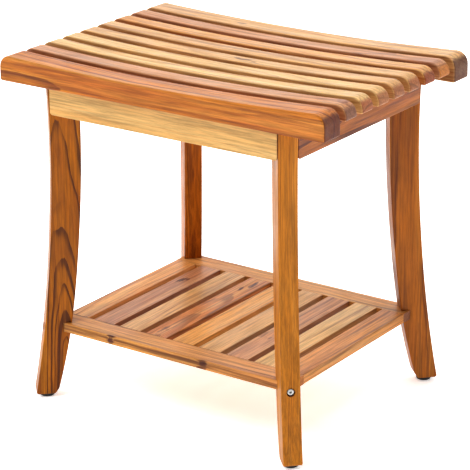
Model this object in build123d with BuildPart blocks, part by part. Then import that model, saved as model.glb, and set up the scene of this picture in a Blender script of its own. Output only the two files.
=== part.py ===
"""Teak shower stool: a dished slatted seat on four swept legs, with a slatted shelf below.

The origin is on the floor under the middle of the stool. X runs along the seat slats, Y runs from the
front to the back, and Z is up. All sizes are in millimetres.
"""
import math
import os

from build123d import *

# Overall sizes
SEAT_LENGTH = 485.0          # along the slats
SEAT_WIDTH = 334.0           # front to back
SEAT_HEIGHT = 455.0          # floor to the raised ends of the seat

# Seat slats
DISH_DEPTH = 6.8             # how far the middle of the seat lies below its ends
EDGE_SLAT_WIDTH = 35.0       # the front and back slats
EDGE_SLAT_DEPTH = 34.0       # their height at the raised ends
INNER_SLAT_WIDTH = 24.5
INNER_SLAT_DEPTH = 20.0
INNER_SLAT_COUNT = 7
SLAT_TOP_ROUND = 15.5        # the rounded top corner at each end
SLAT_BOTTOM_ROUND = 3.0
SLAT_EASING = 2.4            # rounding of the long edges

# Frame under the seat
END_OVERHANG = 53.0          # seat beyond the side aprons
FRONT_OVERHANG = 9.5         # seat beyond the front and back aprons
APRON_THICKNESS = 20.0
APRON_HEIGHT = 36.0
APRON_CORNER_ROUND = 3.5
APRON_EASING = 1.0
BEARER_WIDTH = 18.0
MIDDLE_BEARER_WIDTH = 32.0
FIT_GAP = 0.3                # room at a dry fit between two boards

# Legs: offsets are measured outward from the frame's corner along its diagonal
LEG_THICKNESS = 24.0
LEG_WAIST_DROP = 92.0        # from the leg's top down to where it is drawn in the most
LEG_KNEE_HEIGHT = 205.0
LEG_ANKLE_HEIGHT = 105.0
OUTER_TOP = -10.7
OUTER_WAIST = -12.3
OUTER_KNEE = -6.8
OUTER_ANKLE = 3.1
OUTER_TOE = 18.5
INNER_TOP = -50.0
INNER_WAIST = -50.8
INNER_KNEE = -43.5
INNER_ANKLE = -31.9
INNER_TOE = -12.0
TOE_CHAMFER_WIDTH = 5.0
TOE_CHAMFER_HEIGHT = 7.5
TOE_ROUND = 3.0
LEG_EASING = 1.2

# Shelf
SHELF_HEIGHT = 103.0         # floor to the shelf's top
SHELF_THICKNESS = 12.4
SHELF_END_INSET = 6.0        # shelf inside the side aprons' outer faces
SHELF_FRONT_INSET = 6.5      # shelf inside the front and back aprons' outer faces
SHELF_RAIL_WIDTH = 32.5
SHELF_SLAT_COUNT = 7
SHELF_GAP = 8.9              # between the shelf's boards
SHELF_CORNER_CUT = 11.6      # depth of the 45 degree cut at each corner
SHELF_EASING = 0.8

# Dowels and screws
HOLE_PLAY = 0.05             # each hole's radius over what fills it
APRON_DOWEL_RADIUS = 4.0
APRON_DOWEL_IN_LEG = 10.0
APRON_DOWEL_IN_APRON = 12.0
APRON_DOWEL_SETBACK = 21.0   # from the leg's outer edge, along its face
APRON_DOWEL_SPACING = 16.0
SHELF_DOWEL_RADIUS = 3.0
SHELF_DOWEL_LENGTH = 20.0
SLAT_SCREW_RADIUS = 1.75
SLAT_SCREW_HEAD_RADIUS = 3.5
SLAT_SCREW_HEAD_HEIGHT = 2.2
SLAT_SCREW_LENGTH = 22.0
BEARER_SCREW_LENGTH = 28.0
BEARER_SCREW_PITCHES = (-1.5, 1.5)
EDGE_SCREW_RADIUS = 2.0
EDGE_SCREW_HEAD_RADIUS = 4.0
EDGE_SCREW_HEAD_HEIGHT = 2.6
EDGE_SCREW_LENGTH = 38.0
EDGE_SCREW_RECESS = 15.0     # counterbore up into the apron
EDGE_SCREW_SETBACK = 74.5    # the outer screws from the frame's corner, along the apron
BOLT_RADIUS = 2.5
BOLT_LENGTH = 34.0
BOLT_HEAD_RADIUS = 3.8
BOLT_HEAD_HEIGHT = 3.0
BOLT_POCKET_RADIUS = 5.4
BOLT_SINK = 0.8              # head below the leg's outer edge at the ankle
HEX_SIZE = 2.0               # from the middle to a corner
HEX_DEPTH = 1.8

# Levelling feet
PAD_RADIUS = 9.7
PAD_HEIGHT = 4.5
PAD_ROUND = 1.6
PAD_GAP = 0.3                # between the pad and the leg when screwed home
PAD_OFFSET = 3.0             # outward from the frame's corner
STUD_RADIUS = 3.0
STUD_LENGTH = 21.0
STUD_PLAY = 0.08
STUD_ROOM = 2.0              # free depth above the stud when screwed home
INSERT_RADIUS = 5.0
INSERT_LENGTH = 12.0
INSERT_FLANGE_RADIUS = 6.5
INSERT_FLANGE_HEIGHT = 1.0

# Levels and outlines that follow from the sizes above
FRAME_LENGTH = SEAT_LENGTH - 2 * END_OVERHANG
FRAME_WIDTH = SEAT_WIDTH - 2 * FRONT_OVERHANG
EDGE_UNDERSIDE = SEAT_HEIGHT - EDGE_SLAT_DEPTH
INNER_UNDERSIDE = SEAT_HEIGHT - INNER_SLAT_DEPTH
APRON_UNDERSIDE = EDGE_UNDERSIDE - APRON_HEIGHT
INNER_FIELD = SEAT_WIDTH - 2 * EDGE_SLAT_WIDTH
SLAT_GAP = (INNER_FIELD - INNER_SLAT_COUNT * INNER_SLAT_WIDTH) / (INNER_SLAT_COUNT + 1)
SLAT_PITCH = INNER_SLAT_WIDTH + SLAT_GAP
INNER_SLAT_PLACES = [(i - (INNER_SLAT_COUNT - 1) / 2) * SLAT_PITCH for i in range(INNER_SLAT_COUNT)]
BEARER_LENGTH = INNER_FIELD - 2 * FIT_GAP
BEARER_HEIGHT = INNER_UNDERSIDE - EDGE_UNDERSIDE
BEARER_PLACE = FRAME_LENGTH / 2 - APRON_THICKNESS - BEARER_WIDTH / 2
MITRE_RUN = LEG_THICKNESS / math.sqrt(2)
LEG_FOOT = PAD_HEIGHT + PAD_GAP
SHELF_LENGTH = FRAME_LENGTH - 2 * SHELF_END_INSET
SHELF_WIDTH = FRAME_WIDTH - 2 * SHELF_FRONT_INSET
SHELF_UNDERSIDE = SHELF_HEIGHT - SHELF_THICKNESS
SHELF_MIDDLE = SHELF_HEIGHT - SHELF_THICKNESS / 2
SHELF_SLAT_LENGTH = SHELF_WIDTH - 2 * SHELF_RAIL_WIDTH
SHELF_SPAN = SHELF_LENGTH - 2 * SHELF_RAIL_WIDTH
SHELF_SLAT_WIDTH = (SHELF_SPAN - (SHELF_SLAT_COUNT + 1) * SHELF_GAP) / SHELF_SLAT_COUNT
SHELF_PITCH = SHELF_SLAT_WIDTH + SHELF_GAP
SHELF_SLAT_PLACES = [(i - (SHELF_SLAT_COUNT - 1) / 2) * SHELF_PITCH for i in range(SHELF_SLAT_COUNT)]
SHELF_BOARD_PLACE = (SHELF_LENGTH - SHELF_RAIL_WIDTH) / 2
NOTCH_WALL = -(SHELF_END_INSET + SHELF_FRONT_INSET) / math.sqrt(2) - SHELF_CORNER_CUT
CORNERS = {"front_left": (-1, -1), "front_right": (1, -1), "back_left": (-1, 1), "back_right": (1, 1)}
UPWARD = (Align.CENTER, Align.CENTER, Align.MIN)


def corner_point(side, offset):
    """A point on the floor, on a leg's middle plane, at an offset outward from the frame's corner."""
    step = offset / math.sqrt(2)
    return (side[0] * (FRAME_LENGTH / 2 + step), side[1] * (FRAME_WIDTH / 2 + step), 0)


def leg_plane(side):
    """The middle plane of a leg: its X points outward along the diagonal, and its Y points up."""
    outward = Vector(side[0], side[1], 0).normalized()
    return Plane(origin=corner_point(side, 0), x_dir=outward, z_dir=outward.cross(Vector(0, 0, 1)))


def outward_plane(side, offset, height):
    """A plane across a leg's diagonal whose normal points outward."""
    x, y, _ = corner_point(side, offset)
    return Plane(origin=(x, y, height), x_dir=(-side[1], side[0], 0), z_dir=(side[0], side[1], 0))


def seat_slat(y, width, depth, name):
    """A seat slat: flat below, dished on top, with its top corners rounded at both ends."""
    half = SEAT_LENGTH / 2
    underside = SEAT_HEIGHT - depth
    top_round = min(SLAT_TOP_ROUND, depth - 1.5 * SLAT_BOTTOM_ROUND)
    with BuildPart() as slat:
        with BuildSketch(Plane.XZ.offset(width / 2 - y)):
            with BuildLine():
                ThreePointArc((-half, SEAT_HEIGHT), (0, SEAT_HEIGHT - DISH_DEPTH), (half, SEAT_HEIGHT))
                Polyline((half, SEAT_HEIGHT), (half, underside), (-half, underside), (-half, SEAT_HEIGHT))
            make_face()
            fillet(vertices().group_by(Axis.Y)[-1], top_round)
            fillet(vertices().group_by(Axis.Y)[0], SLAT_BOTTOM_ROUND)
        extrude(amount=-width)
        fillet(slat.faces().filter_by(Axis.Y).edges(), SLAT_EASING)
        add(edge_slat_screws(HOLE_PLAY), mode=Mode.SUBTRACT)
        add(seat_slat_screws(HOLE_PLAY), mode=Mode.SUBTRACT)
    slat.part.label = name
    return slat.part


def along_or_across(lengthwise, along, across):
    """Two values in the order of X and Y, or the other way round for a rail from front to back."""
    return (along, across) if lengthwise else (across, along)


def is_mitred(edge):
    """Whether an edge runs neither along X nor along Y."""
    direction = edge.tangent_at(0)
    return abs(direction.X * direction.Y) > 0.1


def apron(lengthwise, side, name):
    """A rail between two legs, mitred at 45 degrees against their faces.

    The side aprons stand higher, up to the inner seat slats, and step down at their ends, where the
    deeper front and back slats cross them.
    """
    length, depth = along_or_across(lengthwise, FRAME_LENGTH, FRAME_WIDTH)
    outer = side * depth / 2
    top = EDGE_UNDERSIDE if lengthwise else INNER_UNDERSIDE
    outer_half = length / 2 - MITRE_RUN
    inner_half = outer_half - APRON_THICKNESS
    inner = outer - side * APRON_THICKNESS
    outline = [(-outer_half, outer), (outer_half, outer), (inner_half, inner), (-inner_half, inner)]
    with BuildPart() as rail:
        with BuildSketch(Plane.XY.offset(APRON_UNDERSIDE)):
            with BuildLine():
                Polyline(*[along_or_across(lengthwise, *point) for point in outline], close=True)
            make_face()
        extrude(amount=top - APRON_UNDERSIDE)
        underside = rail.faces().sort_by(Axis.Z)[0]
        fillet(underside.edges().filter_by(is_mitred), APRON_CORNER_ROUND)
        underside = rail.faces().sort_by(Axis.Z)[0]
        fillet(underside.edges().filter_by(Axis.X if lengthwise else Axis.Y), APRON_EASING)
        if not lengthwise:
            with BuildSketch(Plane.XY.offset(EDGE_UNDERSIDE)):
                with Locations((outer, SEAT_WIDTH / 2), (outer, -SEAT_WIDTH / 2)):
                    Rectangle(4 * APRON_THICKNESS, 2 * EDGE_SLAT_WIDTH + 2 * FIT_GAP)
            extrude(amount=EDGE_SLAT_DEPTH, mode=Mode.SUBTRACT)
        add(apron_dowels(HOLE_PLAY), mode=Mode.SUBTRACT)
        if lengthwise:
            add(edge_slat_screws(HOLE_PLAY), mode=Mode.SUBTRACT)
        else:
            add(bearer_screws(HOLE_PLAY), mode=Mode.SUBTRACT)
    rail.part.label = name
    return rail.part


def bearer(x, width, name):
    """A batten under the inner seat slats, which are screwed to it from below."""
    with BuildPart() as batten:
        with BuildSketch(Plane.XY.offset(EDGE_UNDERSIDE)):
            with Locations((x, 0)):
                Rectangle(width, BEARER_LENGTH)
        extrude(amount=BEARER_HEIGHT)
        underside = batten.faces().sort_by(Axis.Z)[0]
        chamfer(underside.edges().filter_by(Axis.Y), APRON_EASING)
        add(seat_slat_screws(HOLE_PLAY), mode=Mode.SUBTRACT)
        if x:
            add(bearer_screws(HOLE_PLAY), mode=Mode.SUBTRACT)
    batten.part.label = name
    return batten.part


def leg(side, name):
    """A board on the frame's diagonal, drawn in below the seat and swept out towards the foot."""
    waist = EDGE_UNDERSIDE - LEG_WAIST_DROP
    chamfer_top = LEG_FOOT + TOE_CHAMFER_HEIGHT
    with BuildPart() as post:
        with BuildSketch(leg_plane(side).offset(-LEG_THICKNESS / 2)):
            with BuildLine():
                Spline((OUTER_TOP, EDGE_UNDERSIDE), (OUTER_WAIST, waist), (OUTER_KNEE, LEG_KNEE_HEIGHT),
                       (OUTER_ANKLE, LEG_ANKLE_HEIGHT), (OUTER_TOE, LEG_FOOT))
                Polyline((OUTER_TOE, LEG_FOOT), (INNER_TOE + TOE_CHAMFER_WIDTH, LEG_FOOT),
                         (INNER_TOE, chamfer_top))
                Spline((INNER_TOE, chamfer_top), (INNER_ANKLE, LEG_ANKLE_HEIGHT),
                       (INNER_KNEE, LEG_KNEE_HEIGHT), (INNER_WAIST, waist), (INNER_TOP, EDGE_UNDERSIDE))
                Line((INNER_TOP, EDGE_UNDERSIDE), (OUTER_TOP, EDGE_UNDERSIDE))
            make_face()
            fillet(vertices().sort_by(Axis.Y)[:3], TOE_ROUND)
        extrude(amount=LEG_THICKNESS)
        broad_faces = post.faces().sort_by(SortBy.AREA)[-2:]
        fillet(broad_faces.edges().sort_by(Axis.Z)[:-2], LEG_EASING)
        with BuildSketch(leg_plane(side)):
            with Locations((NOTCH_WALL + FIT_GAP, SHELF_UNDERSIDE)):
                Rectangle(LEG_THICKNESS * 2, SHELF_THICKNESS + FIT_GAP, align=(Align.MAX, Align.MIN))
        extrude(amount=LEG_THICKNESS, both=True, mode=Mode.SUBTRACT)
        add(apron_dowels(HOLE_PLAY), mode=Mode.SUBTRACT)
        add(shelf_bolts(HOLE_PLAY), mode=Mode.SUBTRACT)
        add(foot_inserts(HOLE_PLAY), mode=Mode.SUBTRACT)
    post.part.label = name
    return post.part


def shelf_rail(side, name):
    """The shelf's front or back rail, with its outer corners cut at 45 degrees to enter the legs."""
    half = SHELF_LENGTH / 2
    outer = side * SHELF_WIDTH / 2
    inner = side * (SHELF_WIDTH / 2 - SHELF_RAIL_WIDTH)
    cut = SHELF_CORNER_CUT * math.sqrt(2)
    with BuildPart() as rail:
        with BuildSketch(Plane.XY.offset(SHELF_UNDERSIDE)):
            with BuildLine():
                Polyline((-half, inner), (-half, outer - side * cut), (cut - half, outer),
                         (half - cut, outer), (half, outer - side * cut), (half, inner), close=True)
            make_face()
        extrude(amount=SHELF_THICKNESS)
        fillet(rail.edges().filter_by(Axis.X), SHELF_EASING)
        add(shelf_dowels(HOLE_PLAY), mode=Mode.SUBTRACT)
        add(shelf_bolts(HOLE_PLAY), mode=Mode.SUBTRACT)
    rail.part.label = name
    return rail.part


def shelf_board(x, width, name):
    """A board of the shelf that runs from the front rail to the back rail."""
    with BuildPart() as board:
        with BuildSketch(Plane.XY.offset(SHELF_UNDERSIDE)):
            with Locations((x, 0)):
                Rectangle(width, SHELF_SLAT_LENGTH)
        extrude(amount=SHELF_THICKNESS)
        fillet(board.edges().filter_by(Axis.Y), SHELF_EASING)
        add(shelf_dowels(HOLE_PLAY), mode=Mode.SUBTRACT)
        add(shelf_bolts(HOLE_PLAY), mode=Mode.SUBTRACT)
    board.part.label = name
    return board.part


def apron_dowels(play=0.0):
    """Two dowels across each mitre. With play, the tool that bores their holes."""
    offset = -(LEG_THICKNESS / 2 + APRON_DOWEL_SETBACK)
    places = []
    for side in CORNERS.values():
        for way in (-1, 1):
            across = Vector(-way * side[0], way * side[1], 0).normalized()
            start = Vector(*corner_point(side, offset)) + across * (LEG_THICKNESS / 2 - APRON_DOWEL_IN_LEG)
            for lift in (-APRON_DOWEL_SPACING / 2, APRON_DOWEL_SPACING / 2):
                height = APRON_UNDERSIDE + APRON_HEIGHT / 2 + lift
                places.append(Plane(origin=start + Vector(0, 0, height), z_dir=across))
    with BuildPart() as dowels:
        with BuildSketch(*places):
            Circle(APRON_DOWEL_RADIUS + play)
        extrude(amount=APRON_DOWEL_IN_LEG + APRON_DOWEL_IN_APRON)
    dowels.part.label = "apron_dowels"
    return dowels.part


def shelf_dowels(play=0.0):
    """One dowel at each end of each shelf board. With play, the tool that bores their holes."""
    seam = SHELF_SLAT_LENGTH / 2
    rows = SHELF_SLAT_PLACES + [-SHELF_BOARD_PLACE, SHELF_BOARD_PLACE]
    places = [Plane(origin=(x, side * seam, SHELF_MIDDLE), z_dir=(0, 1, 0))
              for x in rows for side in (-1, 1)]
    with BuildPart() as dowels:
        with BuildSketch(*places):
            Circle(SHELF_DOWEL_RADIUS + play)
        extrude(amount=SHELF_DOWEL_LENGTH / 2, both=True)
    dowels.part.label = "shelf_dowels"
    return dowels.part


def wood_screws(places, radius, head_radius, head_height, length, play, recess, name):
    """Countersunk screws with their heads on the given planes. With play, the tool that bores their holes."""
    with BuildPart() as screws:
        with Locations(*places):
            Cone(head_radius + play, radius + play, head_height, align=UPWARD)
            Cylinder(radius + play, length + play, align=UPWARD)
        if play:
            with BuildSketch(*places):
                Circle(head_radius + play)
            extrude(amount=-(recess + play))
        else:
            with BuildSketch(*places):
                RegularPolygon(radius, 6)
            extrude(amount=head_height / 2, mode=Mode.SUBTRACT)
    screws.part.label = name
    return screws.part


def seat_slat_screws(play=0.0):
    """A screw up through each bearer into each inner seat slat."""
    places = [Plane(origin=(x, y, EDGE_UNDERSIDE), z_dir=(0, 0, 1))
              for x in (-BEARER_PLACE, 0, BEARER_PLACE) for y in INNER_SLAT_PLACES]
    return wood_screws(places, SLAT_SCREW_RADIUS, SLAT_SCREW_HEAD_RADIUS, SLAT_SCREW_HEAD_HEIGHT,
                       SLAT_SCREW_LENGTH, play, 0, "seat_slat_screws")


def bearer_screws(play=0.0):
    """Two level screws through each side bearer into its apron, between the seat slats' screws."""
    inner_face = BEARER_PLACE - BEARER_WIDTH / 2
    places = [Plane(origin=(side * inner_face, pitches * SLAT_PITCH, EDGE_UNDERSIDE + BEARER_HEIGHT / 2),
                    z_dir=(side, 0, 0)) for side in (-1, 1) for pitches in BEARER_SCREW_PITCHES]
    return wood_screws(places, SLAT_SCREW_RADIUS, SLAT_SCREW_HEAD_RADIUS, SLAT_SCREW_HEAD_HEIGHT,
                       BEARER_SCREW_LENGTH, play, 0, "bearer_screws")


def edge_slat_screws(play=0.0):
    """Screws sunk up through the front and back aprons into the front and back seat slats."""
    outer_row = FRAME_LENGTH / 2 - EDGE_SCREW_SETBACK
    rows = (-outer_row, 0, outer_row)
    middle = (FRAME_WIDTH - APRON_THICKNESS) / 2
    places = [Plane(origin=(x, side * middle, APRON_UNDERSIDE + EDGE_SCREW_RECESS), z_dir=(0, 0, 1))
              for x in rows for side in (-1, 1)]
    return wood_screws(places, EDGE_SCREW_RADIUS, EDGE_SCREW_HEAD_RADIUS, EDGE_SCREW_HEAD_HEIGHT,
                       EDGE_SCREW_LENGTH, play, EDGE_SCREW_RECESS, "edge_slat_screws")


def shelf_bolts(play=0.0):
    """A bolt through each leg's outer edge, along the diagonal, into the shelf's corner."""
    head_face = OUTER_ANKLE - BOLT_SINK
    faces = [outward_plane(side, head_face, SHELF_MIDDLE) for side in CORNERS.values()]
    seats = [outward_plane(side, head_face - BOLT_HEAD_HEIGHT, SHELF_MIDDLE) for side in CORNERS.values()]
    with BuildPart() as bolts:
        with BuildSketch(*seats):
            Circle(BOLT_RADIUS + play)
        extrude(amount=-(BOLT_LENGTH + play))
        with BuildSketch(*seats):
            Circle(BOLT_POCKET_RADIUS if play else BOLT_HEAD_RADIUS)
        extrude(amount=LEG_THICKNESS if play else BOLT_HEAD_HEIGHT)
        if not play:
            with BuildSketch(*faces):
                RegularPolygon(HEX_SIZE, 6)
            extrude(amount=-HEX_DEPTH, mode=Mode.SUBTRACT)
    bolts.part.label = "shelf_bolts"
    return bolts.part


def foot_inserts(play=0.0):
    """A flanged insert in each leg's foot. With play, the tool that bores its hole and the stud's room."""
    places = [Plane(origin=Vector(*corner_point(side, PAD_OFFSET)) + Vector(0, 0, LEG_FOOT))
              for side in CORNERS.values()]
    with BuildPart() as inserts:
        with Locations(*places):
            Cylinder(INSERT_RADIUS + play, INSERT_LENGTH + play, align=UPWARD)
            Cylinder(INSERT_FLANGE_RADIUS + play, INSERT_FLANGE_HEIGHT + play, align=UPWARD)
            if play:
                Cylinder(STUD_RADIUS + STUD_PLAY, STUD_LENGTH + STUD_ROOM, align=UPWARD)
            else:
                Cylinder(STUD_RADIUS + STUD_PLAY, INSERT_LENGTH, align=UPWARD, mode=Mode.SUBTRACT)
    inserts.part.label = "foot_inserts"
    return inserts.part


def foot_pad(side, name):
    """The pad that rests on the floor, rounded below."""
    x, y, _ = corner_point(side, PAD_OFFSET)
    with BuildPart() as pad:
        with BuildSketch(Plane((x, y, 0))):
            Circle(PAD_RADIUS)
        extrude(amount=PAD_HEIGHT)
        fillet(pad.faces().sort_by(Axis.Z)[0].edges(), PAD_ROUND)
        fillet(pad.faces().sort_by(Axis.Z)[-1].edges(), PAD_ROUND / 4)
    pad.part.label = name
    return pad.part


def foot_stud(side, name):
    """The threaded stud that rises from the pad into the leg's insert."""
    x, y, _ = corner_point(side, PAD_OFFSET)
    with BuildPart() as stud:
        with BuildSketch(Plane((x, y, PAD_HEIGHT))):
            Circle(STUD_RADIUS)
        extrude(amount=STUD_LENGTH)
        chamfer(stud.faces().sort_by(Axis.Z)[-1].edges(), STUD_RADIUS / 4)
    stud.part.label = name
    return stud.part


def seat_parts():
    edge_place = (SEAT_WIDTH - EDGE_SLAT_WIDTH) / 2
    slats = [seat_slat(-edge_place, EDGE_SLAT_WIDTH, EDGE_SLAT_DEPTH, "front_edge_slat"),
             seat_slat(edge_place, EDGE_SLAT_WIDTH, EDGE_SLAT_DEPTH, "back_edge_slat")]
    for number, y in enumerate(INNER_SLAT_PLACES, start=1):
        slats.append(seat_slat(y, INNER_SLAT_WIDTH, INNER_SLAT_DEPTH, f"seat_slat_{number}"))
    return slats


def frame_parts():
    parts = [apron(True, -1, "front_apron"), apron(True, 1, "back_apron"),
             apron(False, -1, "left_apron"), apron(False, 1, "right_apron"),
             bearer(-BEARER_PLACE, BEARER_WIDTH, "left_seat_bearer"),
             bearer(0, MIDDLE_BEARER_WIDTH, "middle_seat_bearer"),
             bearer(BEARER_PLACE, BEARER_WIDTH, "right_seat_bearer")]
    for corner, side in CORNERS.items():
        parts.append(leg(side, f"{corner}_leg"))
    return parts


def shelf_parts():
    parts = [shelf_rail(-1, "shelf_front_rail"), shelf_rail(1, "shelf_back_rail"),
             shelf_board(-SHELF_BOARD_PLACE, SHELF_RAIL_WIDTH, "shelf_left_board"),
             shelf_board(SHELF_BOARD_PLACE, SHELF_RAIL_WIDTH, "shelf_right_board")]
    for number, x in enumerate(SHELF_SLAT_PLACES, start=1):
        parts.append(shelf_board(x, SHELF_SLAT_WIDTH, f"shelf_slat_{number}"))
    return parts


def fixing_parts():
    return [apron_dowels(), shelf_dowels(), seat_slat_screws(), bearer_screws(), edge_slat_screws(),
            shelf_bolts(), foot_inserts()]


def foot_parts():
    parts = []
    for corner, side in CORNERS.items():
        parts.append(foot_pad(side, f"{corner}_foot_pad"))
        parts.append(foot_stud(side, f"{corner}_foot_stud"))
    return parts


os.makedirs("parts", exist_ok=True)
for piece in seat_parts() + frame_parts() + shelf_parts() + fixing_parts() + foot_parts():
    export_step(piece, f"parts/{piece.label}.step")
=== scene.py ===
"""The shower stool's looks: a grain for each teak board, metal and nylon finishes, threaded studs,
a pale studio and the camera. Everything is in metres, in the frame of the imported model."""
import math
from dataclasses import dataclass

import bpy
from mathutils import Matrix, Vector


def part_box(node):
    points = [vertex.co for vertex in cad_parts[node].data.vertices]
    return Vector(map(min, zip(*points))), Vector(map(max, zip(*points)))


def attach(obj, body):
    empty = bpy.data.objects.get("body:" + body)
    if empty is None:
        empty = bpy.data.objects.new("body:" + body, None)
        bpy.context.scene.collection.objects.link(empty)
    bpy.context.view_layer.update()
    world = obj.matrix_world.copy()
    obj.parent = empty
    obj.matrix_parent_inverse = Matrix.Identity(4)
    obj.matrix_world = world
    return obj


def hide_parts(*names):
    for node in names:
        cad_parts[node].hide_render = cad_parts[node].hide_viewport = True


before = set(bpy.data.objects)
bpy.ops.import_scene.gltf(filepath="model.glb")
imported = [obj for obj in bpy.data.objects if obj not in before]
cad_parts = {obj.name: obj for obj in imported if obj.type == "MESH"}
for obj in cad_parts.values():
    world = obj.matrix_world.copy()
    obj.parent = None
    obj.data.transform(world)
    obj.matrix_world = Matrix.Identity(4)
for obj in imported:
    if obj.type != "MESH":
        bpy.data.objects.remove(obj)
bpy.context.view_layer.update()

# Camera
CAMERA_DISTANCE = 2.745
CAMERA_AZIMUTH = 35.13       # degrees; 0 looks along +Y
CAMERA_ELEVATION = 19.91     # degrees
CAMERA_ROLL = -0.55          # degrees
CAMERA_LENS = 167.56         # mm
SENSOR_WIDTH = 36.0          # mm
AIM = Vector((0.0412, -0.0593, 0.2381))

# Studio
FLOOR_SIZE = 24.0
FLOOR_COLOUR = (252, 252, 252)
FLOOR_ROUGHNESS = 0.9
FLOOR_GLOW = 0.60
WHITE_LIGHT = (1.0, 1.0, 1.0, 1.0)
KEY_LIGHT = dict(azimuth=-22, elevation=52, strength=1.7, softness=25)
FILL_LIGHT = dict(azimuth=85, elevation=30, strength=0.22, softness=60)
BACKDROP_STRENGTH = 2.2      # of the sky behind the stool
FRONT_STRENGTH = 0.12        # of the sky behind the camera
SKY_EDGE = (-0.35, 0.55)     # from the dim side to the bright one
SKY_LIFT = 0.35              # how far the bright side leans upwards
VIEW_GAMMA = 0.84            # below 1, which deepens the browns
VIEW_EXPOSURE = -0.30

# Teak's noises: their scales along, across and through a board, per metre
STRAY_SCALE = (4.0, 13.0, 13.0)
RIPPLE_SCALE = (30.0, 150.0, 150.0)
UNEVEN_SCALE = (5.0, 60.0, 60.0)
DRIFT_SCALE = (4.5, 26.0, 26.0)
PALE_SCALE = (2.2, 70.0, 70.0)
STREAK_SCALE = (3.4, 150.0, 150.0)
FIBRE_SCALE = (14.0, 330.0, 330.0)
PORE_SCALE = (110.0, 2400.0, 2400.0)
SAW_SCALE = (300.0, 420.0, 420.0)
OIL_SCALE = (18.0, 60.0, 60.0)
SEED_STEPS = (1.7, 0.9, 2.3)     # how far one seed is from the next, along, across and through

# Teak's rings
RING_FRAY = 0.0016           # how far the ripples move a ring line
SEASON_SCALE = 0.45          # of the good and bad years, per ring
SEASON_REACH = 2.4           # how many rings they shift
YEAR_STEP = 7.0              # how many years one seed is from the next
LINE_PEAK = 0.93             # where in a ring its line is darkest
LINE_DROP = (0.94, 1.0)      # where it fades again
FAINTEST_RING = 0.12
UNEVEN_EDGE = (0.34, 0.66)
FAINTEST_STRETCH = 0.3       # of a ring line that comes and goes
BAND_DENSITY = 95.0          # of the heartwood bands, across the rings
BAND_DRAW = 0.02             # how fast they change along the board, over how fast across it
BAND_SHARE = 0.6             # of the bands in the patches; the drift has the rest
KNOT_SWELL = 0.010           # how far a knot pushes the rings aside
KNOT_STRETCH = 2.4           # a knot's length along the grain over its width
KNOT_RAGGED_EDGE = (0.35, 0.65)  # of the ripples that roughen a knot's outline
KNOT_RAGGEDNESS = (0.35, 3.0)    # what they multiply the distance from its middle by, squared

# Teak's colours: where each noise turns from none to full, and its tones
PATCH_EDGE = (0.44, 0.64)
PALE_EDGE = (0.50, 0.68)
LINE_EDGE = (0.02, 0.60)
STREAK_EDGE = (0.52, 0.66)
KNOT_EDGE = (0.20, 0.80)
KNOT_COLOUR = (88, 42, 28)
MOTTLE_EDGE = (0.35, 0.60)
MOTTLE_TONES = (1.0, 0.5)    # shares of the knots' colour
FIBRE_EDGE = (0.34, 0.66)
FIBRE_TONES = (0.72, 1.18)
PORE_EDGE = (0.60, 0.70)
PORE_ZONE = (0.0, 0.45)      # the early part of a ring, over which the pores thin out
LATE_PORES = 0.35            # share of them left in the rest of the ring
PORE_DARKNESS = 0.42
PAINTED_SIDE_SHADE_EDGE = (0.60, 0.98)     # how squarely a surface faces across the board; such sides get a painted shade that darkens the gaps between slats
END_EDGE = (0.55, 0.85)      # how squarely a surface faces along the board
END_SHARE = 0.85             # of the end grain's colour on the sawn ends
END_SHADE = 0.6              # the dark of the end grain over its light
END_RINGS = 0.8
SAW_EDGE = (0.35, 0.70)
SAW_MARKS = 0.6

# Teak's oiled finish
WOOD_IOR = 1.40
WOOD_GLOSS = 0.36
OIL_EDGE = (0.3, 0.7)
OIL_ROUGHNESS = (0.30, 0.44)
DRY_ROUGHNESS = 0.12         # added in the pores and on the sawn ends
FIBRE_HEIGHT = 0.5
PORE_DEPTH = 0.8
LINE_DEPTH = 0.25
WOOD_BUMP = (0.40, 0.00014)  # its strength and its height

# Fixings: two colours, clean and stained or scuffed; the range of the roughness; and the bump's strength
# and height. The scales are those of the marks and stains, per metre.
STEEL_COLOURS = ((196, 196, 194), (150, 149, 146))
STEEL_ROUGHNESS = (0.22, 0.42)
STEEL_BUMP = (0.25, 0.00005)
STEEL_MARK_SCALE = (260.0, 260.0, 2600.0)
STEEL_STAIN_SCALE = (180.0, 180.0, 180.0)
STEEL_STAIN_EDGE = (0.35, 0.70)
BRASS_COLOURS = ((214, 176, 92), (150, 112, 52))
BRASS_ROUGHNESS = (0.24, 0.45)
BRASS_BUMP = (0.2, 0.00004)
BRASS_MARK_SCALE = (220.0, 220.0, 3200.0)
BRASS_TARNISH_SCALE = (320.0, 320.0, 320.0)
BRASS_TARNISH_EDGE = (0.40, 0.70)
NYLON_COLOURS = ((22, 22, 23), (58, 57, 56))
NYLON_ROUGHNESS = (0.42, 0.62)
NYLON_BUMP = (0.4, 0.00008)
NYLON_GRAIN_SCALE = (2600.0, 2600.0, 2600.0)
SCUFF_SCALE = (160.0, 160.0, 520.0)
SCUFF_EDGE = (0.56, 0.74)
SCUFF_SHARE = 0.55
MARK_EDGE = (0.3, 0.7)       # of the turning marks and the moulded grain

# The thread of the levelling studs
THREAD_PITCH = 0.00125
THREAD_DEPTH = 0.00042
THREAD_FLANK = 1.35          # how steep its flanks are
THREAD_LEAD_IN = 1.5         # pitches
THREAD_STEPS = 8             # rings of points in one pitch
THREAD_SIDES = 32

CORNERS = ("front_left", "front_right", "back_left", "back_right")
X_AXIS = Vector((1, 0, 0))
Y_AXIS = Vector((0, 1, 0))
Z_AXIS = Vector((0, 0, 1))


def linear(colour):
    """A display colour, 0 to 255, as a linear RGBA."""
    channels = []
    for value in colour:
        share = value / 255
        channels.append(share / 12.92 if share <= 0.04045 else ((share + 0.055) / 1.055) ** 2.4)
    return (*channels, 1.0)


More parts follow.
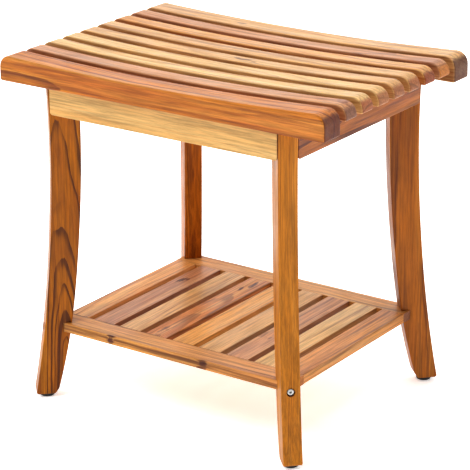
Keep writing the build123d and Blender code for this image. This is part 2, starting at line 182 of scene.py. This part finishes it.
def direction_to(azimuth, elevation):
    """The direction towards a camera or a light, from its angles in degrees; azimuth 0 is the front."""
    turn, lift = math.radians(azimuth), math.radians(elevation)
    return Vector((math.sin(turn) * math.cos(lift), -math.cos(turn) * math.cos(lift), math.sin(lift)))


class Nodes:
    """Adds nodes to one material, and links them."""

    def __init__(self, name):
        self.material = bpy.data.materials.new(name)
        self.material.use_nodes = True
        self.tree = self.material.node_tree
        self.shader = self.tree.nodes["Principled BSDF"]

    def add(self, kind, inputs=None, **settings):
        node = self.tree.nodes.new("ShaderNode" + kind)
        for setting, value in settings.items():
            setattr(node, setting, value)
        for socket, value in (inputs or {}).items():
            self.put(node.inputs[socket], value)
        return node

    def put(self, socket, value):
        if isinstance(value, bpy.types.NodeSocket):
            self.tree.links.new(value, socket)
        else:
            socket.default_value = value

    def shade(self, **values):
        """Sets or links the shader's own sockets, whose names are given with underscores."""
        for socket, value in values.items():
            self.put(self.shader.inputs[socket.replace("_", " ")], value)

    def math(self, operation, first, second=0.0):
        return self.add("Math", {0: first, 1: second}, operation=operation).outputs[0]

    def plus(self, first, second):
        return self.math("ADD", first, second)

    def minus(self, first, second):
        return self.math("SUBTRACT", first, second)

    def times(self, first, second):
        return self.math("MULTIPLY", first, second)

    def vector(self, operation, first, second):
        node = self.add("VectorMath", {0: first, 1: second}, operation=operation)
        return node.outputs["Value" if operation == "DOT_PRODUCT" else "Vector"]

    def facing(self, normal, axis):
        """How squarely the surface faces one way or the other along an axis, from 0 to 1."""
        return self.math("ABSOLUTE", self.vector("DOT_PRODUCT", normal, axis))

    def combine(self, x, y, z):
        return self.add("CombineXYZ", {0: x, 1: y, 2: z}).outputs[0]

    def noise(self, place, scale, detail=2.0, roughness=0.5, output=0):
        """Noise from 0 to 1, with a scale of its own in each direction of the place."""
        scaled = self.vector("MULTIPLY", place, scale)
        inputs = {"Vector": scaled, "Scale": 1.0, "Detail": detail, "Roughness": roughness}
        return self.add("TexNoise", inputs).outputs[output]

    def between(self, value, low, high, start=0.0, end=1.0):
        """A smooth step from start to end as value goes from low to high."""
        inputs = {0: value, 1: low, 2: high, 3: start, 4: end}
        return self.add("MapRange", inputs, interpolation_type="SMOOTHSTEP").outputs[0]

    def mix(self, share, first, second, blend="MIX"):
        node = self.add("Mix", {0: share, 6: first, 7: second}, data_type="RGBA", blend_type=blend)
        return node.outputs[2]

    def bump(self, height, strength, distance):
        node = self.add("Bump", {"Height": height, "Strength": strength, "Distance": distance})
        self.shade(Normal=node.outputs[0])


@dataclass
class Board:
    """How one board was sawn from its log, and its colours."""
    light: tuple                     # the wood between the ring lines
    dark: tuple                      # the ring lines
    along: Vector = X_AXIS           # the grain's direction
    through: Vector = Z_AXIS         # across the board's thickness
    pith: tuple = (0.02, -0.07)      # the log's middle, across and through from the board's middle
    tilt: float = 0.02               # how fast the board runs away from the log's middle
    spacing: float = 0.0045          # from ring to ring
    contrast: float = 0.55           # of the ring lines
    wander: float = 0.010            # how far the rings stray
    streaks: float = 0.45            # share of the dark mineral streaks
    streak: tuple = (92, 42, 22)
    blush: tuple = (176, 104, 78)    # the patches of another tone
    patches: float = 0.35
    onset: float = 0.15              # where in a ring its line begins; a high one makes a thin line
    sawn: float = 0.0                # share of the streaks' colour on the narrow sawn sides, a painted shade that darkens the gaps between slats
    highlight: tuple = (226, 182, 118)   # the paler bands
    pale: float = 0.45
    end: tuple = (128, 76, 58)       # end grain, which takes up more oil
    seed: float = 0.0
    knots: tuple = ()                # each one's place along and across, and its radius


def knot_field(nodes, along, across, roughen, knots):
    """1 in the middle of each knot, falling raggedly to 0 around it."""
    total = 0.0
    for knot_along, knot_across, radius in knots:
        one = nodes.math("DIVIDE", nodes.minus(along, knot_along), radius * KNOT_STRETCH)
        two = nodes.math("DIVIDE", nodes.minus(across, knot_across), radius)
        square = nodes.plus(nodes.times(one, one), nodes.times(two, two))
        ragged = nodes.times(square, nodes.between(roughen, *KNOT_RAGGED_EDGE, *KNOT_RAGGEDNESS))
        total = nodes.plus(total, nodes.math("EXPONENT", nodes.times(ragged, -1.0)))
    return total


def ring_radius(nodes, board, place, grain, ripple, knot):
    """The distance from the log's middle, made to stray, to ripple and to swell around the knots."""
    along, across, through = place
    stray = nodes.noise(grain, STRAY_SCALE, detail=2.5, output="Color")
    stray = nodes.add("SeparateXYZ", {0: stray}).outputs
    side = nodes.minus(across, board.pith[0])
    side = nodes.plus(side, nodes.times(nodes.minus(stray[0], 0.5), board.wander))
    deep = nodes.minus(through, board.pith[1])
    deep = nodes.plus(deep, nodes.times(along, board.tilt))
    deep = nodes.plus(deep, nodes.times(nodes.minus(stray[1], 0.5), board.wander * 2))
    deep = nodes.plus(deep, nodes.times(knot, KNOT_SWELL))
    square = nodes.plus(nodes.times(side, side), nodes.times(deep, deep))
    return nodes.plus(nodes.math("SQRT", square), nodes.times(ripple, RING_FRAY))


def year_rings(nodes, board, radius):
    """How far through its year each point grew, and the strength of that year's ring line, both 0 to 1."""
    scale = SEASON_SCALE / board.spacing
    seasons = nodes.noise(nodes.combine(radius, board.seed, 0.0), (scale, scale, scale), detail=1.0)
    turns = nodes.math("DIVIDE", radius, board.spacing)
    turns = nodes.plus(turns, nodes.times(seasons, SEASON_REACH))
    turn = nodes.math("FRACT", turns)
    year = nodes.plus(nodes.math("FLOOR", turns), board.seed * YEAR_STEP)
    chance = nodes.add("TexWhiteNoise", {"W": year}, noise_dimensions="1D").outputs["Value"]
    rise = nodes.between(turn, board.onset, LINE_PEAK)
    rise = nodes.times(rise, rise)
    fall = nodes.between(turn, *LINE_DROP, 1.0, 0.0)
    ring = nodes.times(nodes.times(rise, fall), nodes.between(chance, 0.0, 1.0, FAINTEST_RING, 1.0))
    return turn, ring


def heartwood(nodes, board, grain, radius, along):
    """The wood between the ring lines: patches that partly follow the rings, and paler bands."""
    banded_place = nodes.combine(radius, nodes.times(along, BAND_DRAW), board.seed)
    bands = nodes.noise(banded_place, (BAND_DENSITY, BAND_DENSITY, BAND_DENSITY), detail=2.0)
    drift = nodes.noise(grain, DRIFT_SCALE, detail=3.0)
    blend = nodes.plus(nodes.times(bands, BAND_SHARE), nodes.times(drift, 1.0 - BAND_SHARE))
    patch = nodes.between(blend, *PATCH_EDGE, 0.0, board.patches)
    colour = nodes.mix(patch, linear(board.light), linear(board.blush))
    pale = nodes.between(nodes.noise(grain, PALE_SCALE, detail=3.0), *PALE_EDGE, 0.0, board.pale)
    return nodes.mix(pale, colour, linear(board.highlight))


def draw_lines(nodes, board, grain, colour, line, knot, ripple):
    """The ring lines, the dark mineral streaks and the knots, over the heartwood."""
    colour = nodes.mix(nodes.between(line, *LINE_EDGE, 0.0, board.contrast), colour, linear(board.dark))
    streak = nodes.noise(grain, STREAK_SCALE, detail=4.0, roughness=0.6)
    streak = nodes.between(streak, *STREAK_EDGE, 0.0, board.streaks)
    colour = nodes.mix(streak, colour, linear(board.streak))
    mottle = nodes.between(ripple, *MOTTLE_EDGE, *MOTTLE_TONES)
    dark_knot = nodes.times(nodes.between(knot, *KNOT_EDGE), mottle)
    return nodes.mix(dark_knot, colour, linear(KNOT_COLOUR))


def end_grain(nodes, board, grain, ring):
    """The sawn ends' colour, darker in the ring lines and the saw marks."""
    saw_mark = nodes.noise(grain, SAW_SCALE, detail=4.0, roughness=0.65)
    saw_mark = nodes.between(saw_mark, *SAW_EDGE, 0.0, SAW_MARKS)
    tone = nodes.math("MAXIMUM", nodes.times(ring, END_RINGS), saw_mark)
    dark = tuple(END_SHADE * channel for channel in board.end)
    return nodes.mix(tone, linear(board.end), linear(dark))


def oiled_finish(nodes, grain, fibre, pore, line, is_end):
    """A satin gloss, drier in the pores and on the ends, over raised fibres and sunk pores and lines."""
    roughness = nodes.between(nodes.noise(grain, OIL_SCALE, detail=3.0), *OIL_EDGE, *OIL_ROUGHNESS)
    roughness = nodes.plus(roughness, nodes.times(pore, DRY_ROUGHNESS))
    roughness = nodes.plus(roughness, nodes.times(is_end, DRY_ROUGHNESS))
    nodes.shade(IOR=WOOD_IOR, Specular_IOR_Level=WOOD_GLOSS, Roughness=roughness)
    height = nodes.minus(nodes.times(fibre, FIBRE_HEIGHT), nodes.times(pore, PORE_DEPTH))
    nodes.bump(nodes.minus(height, nodes.times(line, LINE_DEPTH)), *WOOD_BUMP)


def teak(name, board, middle):
    """Oiled teak: rings around the log's middle, mineral streaks, patches, fibres and open pores."""
    nodes = Nodes(name)
    across_axis = board.through.cross(board.along)
    coordinates = nodes.add("TexCoord").outputs
    place = nodes.vector("SUBTRACT", coordinates["Object"], middle)
    along = nodes.vector("DOT_PRODUCT", place, board.along)
    across = nodes.vector("DOT_PRODUCT", place, across_axis)
    through = nodes.vector("DOT_PRODUCT", place, board.through)
    shift = tuple(board.seed * step for step in SEED_STEPS)
    grain = nodes.vector("ADD", nodes.combine(along, across, through), shift)

    ripple = nodes.noise(grain, RIPPLE_SCALE, detail=3.0)
    knot = knot_field(nodes, along, across, ripple, board.knots)
    radius = ring_radius(nodes, board, (along, across, through), grain, ripple, knot)
    turn, ring = year_rings(nodes, board, radius)
    uneven = nodes.between(nodes.noise(grain, UNEVEN_SCALE), *UNEVEN_EDGE, FAINTEST_STRETCH, 1.0)
    line = nodes.times(ring, uneven)

    colour = heartwood(nodes, board, grain, radius, along)
    colour = draw_lines(nodes, board, grain, colour, line, knot, ripple)
    fibre = nodes.noise(grain, FIBRE_SCALE, detail=5.0, roughness=0.72)
    tone = nodes.between(fibre, *FIBRE_EDGE, *FIBRE_TONES)
    colour = nodes.mix(1.0, colour, nodes.combine(tone, tone, tone), "MULTIPLY")
    pore = nodes.between(nodes.noise(grain, PORE_SCALE), *PORE_EDGE)
    pore = nodes.times(pore, nodes.between(turn, *PORE_ZONE, 1.0, LATE_PORES))
    colour = nodes.mix(nodes.times(pore, PORE_DARKNESS), colour, linear(board.streak))

    # Painted shade: the narrow sides, which face the gaps between slats, are darkened towards the streaks'
    # colour.
    sawn = nodes.between(nodes.facing(coordinates["Normal"], across_axis), *PAINTED_SIDE_SHADE_EDGE, 0.0, board.sawn)
    colour = nodes.mix(sawn, colour, linear(board.streak))
    is_end = nodes.between(nodes.facing(coordinates["Normal"], board.along), *END_EDGE, 0.0, END_SHARE)
    nodes.shade(Base_Color=nodes.mix(is_end, colour, end_grain(nodes, board, grain, ring)))
    oiled_finish(nodes, grain, fibre, pore, line, is_end)
    return nodes.material


def metal(nodes, marks, stain, colours, roughness, bump):
    """Turned metal whose colour goes from clean to stained, with marks that catch the light."""
    clean, stained = colours
    nodes.shade(Base_Color=nodes.mix(stain, linear(clean), linear(stained)), Metallic=1.0,
                Roughness=nodes.between(marks, *MARK_EDGE, *roughness))
    nodes.bump(marks, *bump)
    return nodes.material


def steel(name):
    """Machined stainless steel with fine turning marks."""
    nodes = Nodes(name)
    place = nodes.add("TexCoord").outputs["Object"]
    marks = nodes.noise(place, STEEL_MARK_SCALE, detail=3.0)
    stain = nodes.between(nodes.noise(place, STEEL_STAIN_SCALE, detail=3.0), *STEEL_STAIN_EDGE)
    return metal(nodes, marks, stain, STEEL_COLOURS, STEEL_ROUGHNESS, STEEL_BUMP)


def brass(name):
    """Turned brass, a little tarnished."""
    nodes = Nodes(name)
    place = nodes.add("TexCoord").outputs["Object"]
    marks = nodes.noise(place, BRASS_MARK_SCALE, detail=3.0)
    tarnish = nodes.between(nodes.noise(place, BRASS_TARNISH_SCALE, detail=4.0), *BRASS_TARNISH_EDGE)
    return metal(nodes, marks, tarnish, BRASS_COLOURS, BRASS_ROUGHNESS, BRASS_BUMP)


def nylon(name):
    """Black moulded nylon with a fine spark-eroded grain and scuffs."""
    nodes = Nodes(name)
    place = nodes.add("TexCoord").outputs["Object"]
    grain = nodes.noise(place, NYLON_GRAIN_SCALE)
    scuff = nodes.between(nodes.noise(place, SCUFF_SCALE, detail=5.0, roughness=0.7), *SCUFF_EDGE)
    fresh, scuffed = NYLON_COLOURS
    nodes.shade(Base_Color=nodes.mix(nodes.times(scuff, SCUFF_SHARE), linear(fresh), linear(scuffed)),
                Roughness=nodes.between(grain, *MARK_EDGE, *NYLON_ROUGHNESS))
    nodes.bump(grain, *NYLON_BUMP)
    return nodes.material


def middle_of(node):
    low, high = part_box(node)
    return (low + high) / 2


def dress(node, material):
    """Gives a CAD node's object its material."""
    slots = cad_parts[node].data.materials
    slots.clear()
    slots.append(material)


# Boards. The seat's slats run along X, the shelf's along Y, and the legs stand.
# sawn sets a painted shade on the slats' narrow sides, which darkens the gaps between them.
TAN = dict(light=(208, 162, 104), dark=(160, 104, 60), blush=(200, 146, 102), streak=(134, 78, 42),
           sawn=0.5)
PINK = dict(light=(194, 138, 92), dark=(130, 78, 52), blush=(170, 112, 88), patches=0.6,
            highlight=(214, 168, 118), streak=(120, 66, 44), sawn=0.5)
GOLD = dict(light=(214, 174, 114), dark=(172, 120, 66), blush=(206, 154, 98), streak=(146, 92, 48),
            sawn=0.5)
DOWEL_WOOD = Board(light=(222, 184, 128), dark=(190, 146, 92), streaks=0.1, patches=0.1, spacing=0.0012)

SEAT_BOARDS = {
    "front_edge_slat": Board(light=(196, 122, 42), dark=(108, 46, 18), through=Y_AXIS,
                             pith=(0.012, -0.040), streaks=0.65, streak=(122, 58, 30), contrast=0.75,
                             spacing=0.0075, wander=0.012, tilt=0.012, blush=(178, 96, 42), patches=0.6,
                             highlight=(220, 160, 80), onset=0.30, end=(98, 40, 30), seed=1.0),
    "seat_slat_1": Board(**PINK, pith=(0.01, 0.06), end=(136, 92, 74), streaks=0.55, seed=2.0),
    "seat_slat_2": Board(**GOLD, pith=(0.03, -0.09), end=(176, 96, 60), streaks=0.3, seed=3.0),
    "seat_slat_3": Board(**GOLD, pith=(-0.04, -0.10), end=(178, 110, 70), streaks=0.25, seed=4.0),
    "seat_slat_4": Board(**TAN, pith=(0.02, 0.08), end=(172, 106, 70), streaks=0.3, seed=5.0,
                         knots=((0.016, 0.0, 0.0052), (0.004, 0.003, 0.0034), (0.032, -0.002, 0.0028))),
    "seat_slat_5": Board(**TAN, pith=(-0.03, -0.06), end=(176, 104, 64), streaks=0.3, seed=6.0),
    "seat_slat_6": Board(light=(206, 148, 80), dark=(146, 80, 36), pith=(0.05, 0.09), end=(150, 66, 34),
                         blush=(196, 124, 72), streak=(140, 76, 40), streaks=0.4, sawn=0.6, seed=7.0),
    "seat_slat_7": Board(**PINK, pith=(0.0, -0.05), end=(204, 128, 50), streaks=0.45, seed=8.0),
    "back_edge_slat": Board(**TAN, pith=(-0.04, -0.07), end=(92, 42, 30), streaks=0.5, seed=9.0,
                            knots=((-0.085, -0.004, 0.0034),)),
}
APRON_BOARDS = {
    "front_apron": Board(light=(212, 173, 112), dark=(198, 143, 78), through=Y_AXIS, pith=(0.05, -0.09),
                         contrast=0.5, spacing=0.0030, wander=0.004, streaks=0.2, patches=0.3,
                         streak=(208, 142, 70), blush=(216, 160, 84), highlight=(230, 196, 138), pale=0.7,
                         seed=11.0),
    "back_apron": Board(light=(206, 146, 70), dark=(166, 98, 40), through=Y_AXIS, pith=(-0.03, 0.08),
                        streaks=0.3, seed=12.0),
    "left_apron": Board(light=(188, 112, 42), dark=(128, 64, 22), along=Y_AXIS, through=X_AXIS,
                        pith=(0.03, 0.07), streaks=0.4, seed=13.0),
    "right_apron": Board(light=(172, 100, 32), dark=(100, 44, 20), along=Y_AXIS, through=X_AXIS,
                         pith=(0.004, -0.030), tilt=0.05, streaks=0.8, streak=(80, 34, 28), spacing=0.0090,
                         wander=0.018, contrast=0.8, blush=(118, 54, 38), patches=0.85, seed=14.0),
    "left_seat_bearer": Board(light=(176, 108, 46), dark=(128, 68, 26), along=Y_AXIS, seed=15.0),
    "middle_seat_bearer": Board(light=(184, 116, 50), dark=(134, 72, 28), along=Y_AXIS, seed=16.0),
    "right_seat_bearer": Board(light=(170, 100, 42), dark=(122, 62, 22), along=Y_AXIS, seed=17.0),
}
LEG_BOARDS = {
    "front_left": Board(light=(178, 106, 4), dark=(84, 38, 3), along=Z_AXIS, pith=(0.006, -0.036),
                        tilt=0.10, spacing=0.0046, contrast=0.85, wander=0.016, streaks=0.35,
                        streak=(92, 40, 4), blush=(142, 74, 4), patches=0.85, highlight=(206, 136, 22),
                        onset=0.20, seed=21.0),
    "front_right": Board(light=(188, 120, 26), dark=(140, 78, 14), along=Z_AXIS, pith=(0.004, 0.09),
                         tilt=0.002, spacing=0.0032, contrast=0.75, wander=0.002, streaks=0.2,
                         streak=(150, 88, 24), blush=(182, 108, 28), patches=0.15,
                         highlight=(210, 146, 58), seed=22.0),
    "back_left": Board(light=(186, 106, 20), dark=(92, 42, 8), along=Z_AXIS, pith=(0.004, -0.08),
                       tilt=0.004, spacing=0.0056, contrast=0.9, wander=0.005, streaks=0.5,
                       blush=(146, 74, 18), patches=0.4, highlight=(204, 128, 40), seed=23.0),
    "back_right": Board(light=(180, 106, 20), dark=(98, 44, 12), along=Z_AXIS, pith=(0.006, -0.034),
                        tilt=0.022, spacing=0.0036, contrast=0.75, wander=0.010, streaks=0.5,
                        streak=(98, 44, 12), blush=(108, 50, 15), patches=0.85, highlight=(210, 140, 48),
                        onset=0.30, seed=24.0),
}
SHELF_BOARDS = {
    "shelf_front_rail": Board(light=(210, 150, 78), dark=(138, 78, 34), pith=(0.02, -0.03), spacing=0.0056,
                              streaks=0.7, wander=0.010, highlight=(230, 178, 104), end=(190, 114, 42),
                              knots=((-0.090, -0.016, 0.0020), (0.055, -0.016, 0.0030)), seed=31.0),
    "shelf_back_rail": Board(light=(212, 154, 84), dark=(164, 100, 44), pith=(-0.03, 0.06), streaks=0.35,
                             seed=32.0),
    "shelf_left_board": Board(light=(210, 148, 84), dark=(152, 88, 38), along=Y_AXIS, pith=(0.03, -0.06),
                              seed=33.0),
    "shelf_right_board": Board(light=(208, 142, 68), dark=(148, 84, 36), along=Y_AXIS, pith=(-0.04, -0.07),
                               streaks=0.5, seed=34.0),
    "shelf_slat_1": Board(**PINK, along=Y_AXIS, pith=(0.0, -0.05), streaks=0.5, seed=35.0,
                          knots=((0.060, 0.006, 0.0034), (0.066, 0.0, 0.0030))),
    "shelf_slat_2": Board(**TAN, along=Y_AXIS, pith=(0.04, -0.07), seed=36.0),
    "shelf_slat_3": Board(light=(196, 124, 58), dark=(110, 56, 26), along=Y_AXIS, pith=(0.0, -0.02),
                          tilt=0.05, wander=0.016, spacing=0.0070, streaks=0.55, patches=0.5, seed=37.0,
                          knots=((0.092, -0.002, 0.0046), (0.080, 0.005, 0.0030),
                                 (-0.090, 0.006, 0.0046))),
    "shelf_slat_4": Board(light=(220, 158, 74), dark=(170, 106, 42), along=Y_AXIS, pith=(0.05, 0.08),
                          streaks=0.2, patches=0.2, seed=38.0),
    "shelf_slat_5": Board(**TAN, along=Y_AXIS, pith=(-0.03, 0.07), seed=39.0),
    "shelf_slat_6": Board(**PINK, along=Y_AXIS, pith=(0.01, -0.06), streaks=0.6, seed=40.0,
                          knots=((-0.045, 0.0, 0.0030),)),
    "shelf_slat_7": Board(**GOLD, along=Y_AXIS, pith=(0.03, 0.06), seed=41.0),
}


def dress_wood():
    boards = {**SEAT_BOARDS, **APRON_BOARDS, **SHELF_BOARDS}
    for corner, board in LEG_BOARDS.items():
        middle = middle_of(f"{corner}_leg")
        outward = Vector((math.copysign(1, middle.x), math.copysign(1, middle.y), 0)).normalized()
        board.through = outward.cross(Z_AXIS)
        boards[f"{corner}_leg"] = board
    for node, board in boards.items():
        dress(node, teak(f"teak_{node}", board, middle_of(node)))
    for node in ("apron_dowels", "shelf_dowels"):
        dress(node, teak(f"beech_{node}", DOWEL_WOOD, middle_of(node)))


def dress_fixings():
    for node in ("seat_slat_screws", "bearer_screws", "edge_slat_screws", "shelf_bolts"):
        dress(node, steel(f"steel_{node}"))
    dress("foot_inserts", brass("turned_brass"))
    pad = nylon("moulded_nylon")
    for corner in CORNERS:
        dress(f"{corner}_foot_pad", pad)


def thread_points(low, high):
    """Rings of points up a thread that fills a box, whose radius follows one helix."""
    middle = (low + high) / 2
    crest = (high.x - low.x) / 2
    length = high.z - low.z
    rows = round(length / THREAD_PITCH * THREAD_STEPS)
    points = []
    for row in range(rows + 1):
        height = low.z + length * row / rows
        lead_in = min(1.0, (high.z - height) / THREAD_PITCH / THREAD_LEAD_IN)
        for side in range(THREAD_SIDES):
            angle = math.tau * side / THREAD_SIDES
            turn = (height - low.z) / THREAD_PITCH - angle / math.tau
            flank = abs(2 * (turn % 1.0) - 1)
            reach = crest - THREAD_DEPTH * min(1.0, THREAD_FLANK * flank) - THREAD_DEPTH * (1 - lead_in)
            points.append((middle.x + reach * math.cos(angle), middle.y + reach * math.sin(angle), height))
    return points, rows


def thread_faces(rows):
    """Faces between the rings of points, and one more to close each end."""
    faces = []
    for row in range(rows):
        for side in range(THREAD_SIDES):
            beside = (side + 1) % THREAD_SIDES
            start = row * THREAD_SIDES
            above = start + THREAD_SIDES
            faces.append((start + side, start + beside, above + beside, above + side))
    faces.append(tuple(reversed(range(THREAD_SIDES))))
    faces.append(tuple(rows * THREAD_SIDES + side for side in range(THREAD_SIDES)))
    return faces


def add_mesh(name, points, faces, material):
    mesh = bpy.data.meshes.new(name)
    mesh.from_pydata(points, [], faces)
    mesh.materials.append(material)
    piece = bpy.data.objects.new(name, mesh)
    bpy.context.scene.collection.objects.link(piece)
    return piece


def threaded_stud(corner, material):
    """A stud with a rolled thread, in the place of the plain one."""
    points, rows = thread_points(*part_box(f"{corner}_foot_stud"))
    stud = add_mesh(f"{corner}_threaded_stud", points, thread_faces(rows), material)
    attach(stud, f"{corner}_foot")
    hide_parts(f"{corner}_foot_stud")


def add_floor():
    nodes = Nodes("studio_floor")
    nodes.shade(Base_Color=linear(FLOOR_COLOUR), Roughness=FLOOR_ROUGHNESS, Emission_Color=WHITE_LIGHT,
                Emission_Strength=FLOOR_GLOW)
    half = FLOOR_SIZE / 2
    corners = [(-half, -half, 0), (half, -half, 0), (half, half, 0), (-half, half, 0)]
    floor = add_mesh("studio_floor", corners, [(0, 1, 2, 3)], nodes.material)


def add_sun(name, azimuth, elevation, strength, softness):
    """A distant soft light."""
    light = bpy.data.lights.new(name, "SUN")
    light.energy = strength
    light.angle = math.radians(softness)
    lamp = bpy.data.objects.new(name, light)
    lamp.rotation_euler = direction_to(azimuth, elevation).to_track_quat("Z", "Y").to_euler()
    bpy.context.scene.collection.objects.link(lamp)


def add_sky():
    """A sky that is bright behind the stool and dim behind the camera."""
    world = bpy.data.worlds.new("studio_sky")
    world.use_nodes = True
    tree = world.node_tree
    direction = tree.nodes.new("ShaderNodeTexCoord")
    facing = tree.nodes.new("ShaderNodeVectorMath")
    facing.operation = "DOT_PRODUCT"
    turn = math.radians(CAMERA_AZIMUTH)
    facing.inputs[1].default_value = (-math.sin(turn), math.cos(turn), SKY_LIFT)
    strength = tree.nodes.new("ShaderNodeMapRange")
    strength.interpolation_type = "SMOOTHSTEP"
    strength.inputs["From Min"].default_value, strength.inputs["From Max"].default_value = SKY_EDGE
    strength.inputs["To Min"].default_value = FRONT_STRENGTH
    strength.inputs["To Max"].default_value = BACKDROP_STRENGTH
    sky = tree.nodes["Background"]
    sky.inputs["Color"].default_value = WHITE_LIGHT
    tree.links.new(direction.outputs["Generated"], facing.inputs[0])
    tree.links.new(facing.outputs["Value"], strength.inputs["Value"])
    tree.links.new(strength.outputs[0], sky.inputs["Strength"])
    bpy.context.scene.world = world


def add_studio():
    add_floor()
    add_sun("key_light", **KEY_LIGHT)
    add_sun("fill_light", **FILL_LIGHT)
    add_sky()
    bpy.context.scene.view_settings.view_transform = "Standard"
    bpy.context.scene.view_settings.gamma = VIEW_GAMMA
    bpy.context.scene.view_settings.exposure = VIEW_EXPOSURE


def add_camera():
    away = direction_to(CAMERA_AZIMUTH, CAMERA_ELEVATION)
    data = bpy.data.cameras.new("camera")
    data.lens = CAMERA_LENS
    data.sensor_width = SENSOR_WIDTH
    camera = bpy.data.objects.new("camera", data)
    camera.location = AIM + away * CAMERA_DISTANCE
    camera.rotation_euler = away.to_track_quat("Z", "Y").to_euler()
    camera.rotation_euler.rotate_axis("Z", math.radians(CAMERA_ROLL))
    bpy.context.scene.collection.objects.link(camera)
    bpy.context.scene.camera = camera


dress_wood()
dress_fixings()
stud_steel = steel("steel_studs")
for corner in CORNERS:
    threaded_stud(corner, stud_steel)
add_studio()
add_camera()
